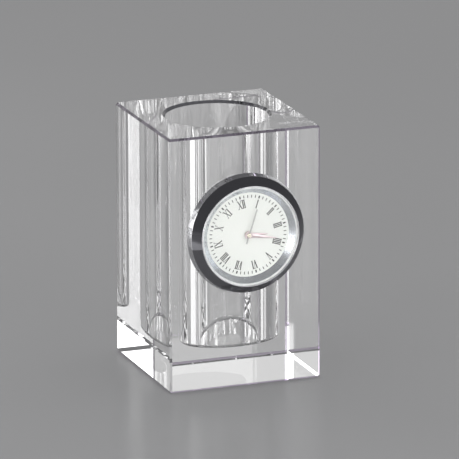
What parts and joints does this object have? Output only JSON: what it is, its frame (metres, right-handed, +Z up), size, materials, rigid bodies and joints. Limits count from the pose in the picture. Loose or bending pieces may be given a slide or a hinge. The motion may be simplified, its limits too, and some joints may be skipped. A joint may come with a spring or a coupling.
{
  "type": "pen holder clock",
  "caption": "Clear glass block with a round blind pen well in its top and a quartz clock pushed into its front face, with a polished bezel and Roman numerals.",
  "frame": {"origin": "centre of the glass block's base", "axes": "+Z up along the pen well, -Y towards the viewer of the dial, +X to the viewer's right"},
  "size_m": [0.06, 0.0658, 0.098],
  "materials": {
    "block_glass": "clear, polished on every face",
    "polished_bezel": "bright polished plating",
    "lens_glass": "clear flat glass",
    "clear_gasket": "milky clear nylon",
    "silver_ring": "fine satin",
    "dial_paint": "near-white, satin",
    "dial_print": "black print",
    "hand_metal": "bright polished",
    "second_hand_metal": "bright",
    "hub_gold": "polished",
    "case_plastic": "fine moulded grain",
    "grip_rubber": "moulded",
    "holder_plastic": "natural white",
    "plate_plastic": "moulded",
    "bridge_metal": "stamped",
    "wheel_brass": "cut brass",
    "pinion_steel": "turned steel",
    "wheel_plastic": "natural white",
    "knob_plastic": "moulded",
    "magnet": "sintered",
    "soft_iron": "stamped",
    "copper_wire": "enamelled copper",
    "board_laminate": "solder mask",
    "chip_resin": "potting resin",
    "crystal_can": "drawn can",
    "battery_can": "plated can",
    "contact_spring": "spring brass",
    "hatch_metal": "turned",
    "screw_steel": "plated"
  },
  "bodies": {
    "stand": {"glass_block": "block_glass"},
    "grip": {"grip_ring": "grip_rubber"},
    "insert": {"bezel": "polished_bezel", "lens": "lens_glass", "lens_gasket": "clear_gasket", "dial_ring": "silver_ring", "dial": "dial_paint", "hour_numerals": "dial_print", "minute_track": "dial_print", "insert_case": "case_plastic", "movement_holder": "holder_plastic", "main_plate": "plate_plastic", "train_bridge": "bridge_metal", "stator": "soft_iron", "coil_core": "soft_iron", "coil_winding": "copper_wire", "circuit_board": "board_laminate", "control_chip": "chip_resin", "quartz_crystal": "crystal_can", "battery": "battery_can", "positive_contact": "contact_spring", "negative_contact": "contact_spring", "back_cover": "case_plastic", "movement_screws": "screw_steel"},
    "minute_set": {"minute_hand": "hand_metal", "cannon_pinion": "pinion_steel"},
    "hour_set": {"hour_hand": "hand_metal", "hour_wheel": "wheel_brass"},
    "motion_idler": {"minute_wheel": "wheel_brass"},
    "setter": {"setting_arbor": "pinion_steel", "setting_knob": "knob_plastic"},
    "seconds_set": {"second_hand": "second_hand_metal", "hub_cap": "hub_gold", "seconds_wheel": "wheel_brass"},
    "centre": {"centre_wheel": "wheel_brass"},
    "third": {"third_wheel": "wheel_brass"},
    "intermediate": {"intermediate_wheel": "wheel_plastic"},
    "rotor": {"rotor_arbor": "pinion_steel", "rotor_magnet": "magnet"},
    "hatch": {"battery_hatch": "hatch_metal"}
  },
  "joints": [
    {"name": "insert_pull", "type": "slide", "parent": "stand", "child": "grip", "axis": [0, -1, 0], "range_m": [0, 0.012]},
    {"name": "insert_turn", "type": "hinge", "parent": "grip", "child": "insert", "pos_m": [0, -0.03, 0.0595], "axis": [0, 1, 0], "continuous": true},
    {"name": "minute_spin", "type": "hinge", "parent": "insert", "child": "minute_set", "pos_m": [0, -0.03, 0.0595], "axis": [0, 1, 0], "continuous": true},
    {"name": "hour_spin", "type": "hinge", "parent": "insert", "child": "hour_set", "pos_m": [0, -0.03, 0.0595], "axis": [0, 1, 0], "continuous": true},
    {"name": "minute_wheel_spin", "type": "hinge", "parent": "insert", "child": "motion_idler", "pos_m": [0.00159, -0.03, 0.0645], "axis": [0, 1, 0], "continuous": true},
    {"name": "setting_spin", "type": "hinge", "parent": "insert", "child": "setter", "pos_m": [0.00317, -0.03, 0.06951], "axis": [0, 1, 0], "continuous": true},
    {"name": "second_spin", "type": "hinge", "parent": "insert", "child": "seconds_set", "pos_m": [0, -0.03, 0.0595], "axis": [0, 1, 0], "continuous": true},
    {"name": "centre_wheel_spin", "type": "hinge", "parent": "insert", "child": "centre", "pos_m": [0, -0.03, 0.0595], "axis": [0, 1, 0], "continuous": true},
    {"name": "third_wheel_spin", "type": "hinge", "parent": "insert", "child": "third", "pos_m": [0.0034, -0.03, 0.05578], "axis": [0, 1, 0], "continuous": true},
    {"name": "intermediate_wheel_spin", "type": "hinge", "parent": "insert", "child": "intermediate", "pos_m": [0.00516, -0.03, 0.06063], "axis": [0, 1, 0], "continuous": true},
    {"name": "rotor_spin", "type": "hinge", "parent": "insert", "child": "rotor", "pos_m": [0.00946, -0.03, 0.06158], "axis": [0, 1, 0], "continuous": true},
    {"name": "hatch_turn", "type": "hinge", "parent": "insert", "child": "hatch", "pos_m": [-0.01035, -0.03, 0.05722], "axis": [0, 1, 0], "range_deg": [0, 40]}
  ],
  "couplings": [
    {"joint": "hour_spin", "follows": "minute_spin", "ratio": 0.083333},
    {"joint": "minute_wheel_spin", "follows": "minute_spin", "ratio": -0.33333},
    {"joint": "setting_spin", "follows": "minute_spin", "ratio": 1},
    {"joint": "centre_wheel_spin", "follows": "second_spin", "ratio": 0.016667},
    {"joint": "third_wheel_spin", "follows": "second_spin", "ratio": -0.13333},
    {"joint": "intermediate_wheel_spin", "follows": "second_spin", "ratio": -5},
    {"joint": "rotor_spin", "follows": "second_spin", "ratio": 30}
  ]
}
